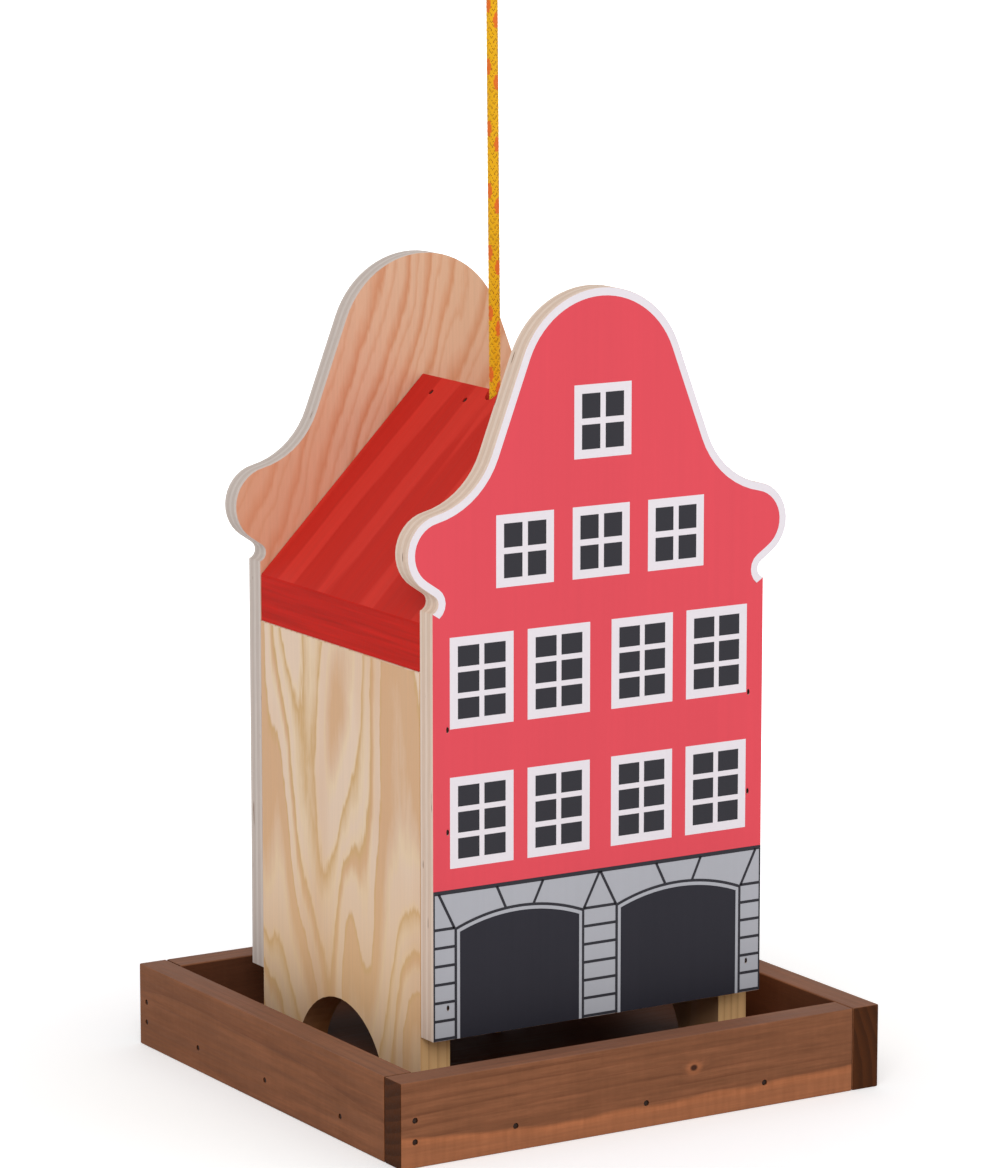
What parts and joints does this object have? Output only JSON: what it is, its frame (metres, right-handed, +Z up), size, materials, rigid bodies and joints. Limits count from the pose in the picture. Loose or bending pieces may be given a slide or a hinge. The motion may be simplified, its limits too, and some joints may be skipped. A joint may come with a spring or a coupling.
{
  "type": "hanging bird feeder",
  "caption": "Hanging hopper bird feeder shaped as a gabled town house on a nailed seed tray, with a roof that slides up its rope for filling.",
  "frame": {"origin": "centre of the tray's underside, on the plane that the tray stands on", "axes": "+Z up along the rope, -Y out of the printed front facade, +X to the right seen from the front"},
  "size_m": [0.215, 0.206, 0.4795],
  "materials": {
    "stained_softwood": "brown stain, matt",
    "plywood": "clear lacquer, satin",
    "printed_plywood": "printed face, satin",
    "stained_roof_board": "red stain, satin",
    "rope": "braided polypropylene",
    "brad_steel": "dull steel"
  },
  "bodies": {
    "feeder": {"back_corner_brad_1": "brad_steel", "back_corner_brad_2": "brad_steel", "back_facade": "printed_plywood", "back_floor_brad_1": "brad_steel", "back_floor_brad_2": "brad_steel", "back_floor_brad_3": "brad_steel", "back_left_brad_1": "brad_steel", "back_left_brad_2": "brad_steel", "back_left_brad_3": "brad_steel", "back_right_brad_1": "brad_steel", "back_right_brad_2": "brad_steel", "back_right_brad_3": "brad_steel", "front_corner_brad_1": "brad_steel", "front_corner_brad_2": "brad_steel", "front_facade": "printed_plywood", "front_floor_brad_1": "brad_steel", "front_floor_brad_2": "brad_steel", "front_floor_brad_3": "brad_steel", "front_left_brad_1": "brad_steel", "front_left_brad_2": "brad_steel", "front_left_brad_3": "brad_steel", "front_right_brad_1": "brad_steel", "front_right_brad_2": "brad_steel", "front_right_brad_3": "brad_steel", "hanging_rope": "rope", "left_corner_brad_1": "brad_steel", "left_corner_brad_2": "brad_steel", "left_floor_brad_1": "brad_steel", "left_floor_brad_2": "brad_steel", "left_floor_brad_3": "brad_steel", "left_leg_brad_1": "brad_steel", "left_leg_brad_2": "brad_steel", "left_wall": "plywood", "right_corner_brad_1": "brad_steel", "right_corner_brad_2": "brad_steel", "right_floor_brad_1": "brad_steel", "right_floor_brad_2": "brad_steel", "right_floor_brad_3": "brad_steel", "right_leg_brad_1": "brad_steel", "right_leg_brad_2": "brad_steel", "right_wall": "plywood", "rope_loop": "rope", "rope_loop_knot": "rope", "rope_stop_knot": "rope", "tray_back_board": "stained_softwood", "tray_floor": "stained_softwood", "tray_front_board": "stained_softwood", "tray_left_board": "stained_softwood", "tray_right_board": "stained_softwood"},
    "roof": {"roof_brad_1": "brad_steel", "roof_brad_2": "brad_steel", "roof_brad_3": "brad_steel", "roof_brad_4": "brad_steel", "roof_left_board": "stained_roof_board", "roof_right_board": "stained_roof_board"}
  },
  "joints": [
    {"name": "roof_lift", "type": "slide", "parent": "feeder", "child": "roof", "axis": [0, 0, 1], "range_m": [0, 0.14]}
  ]
}
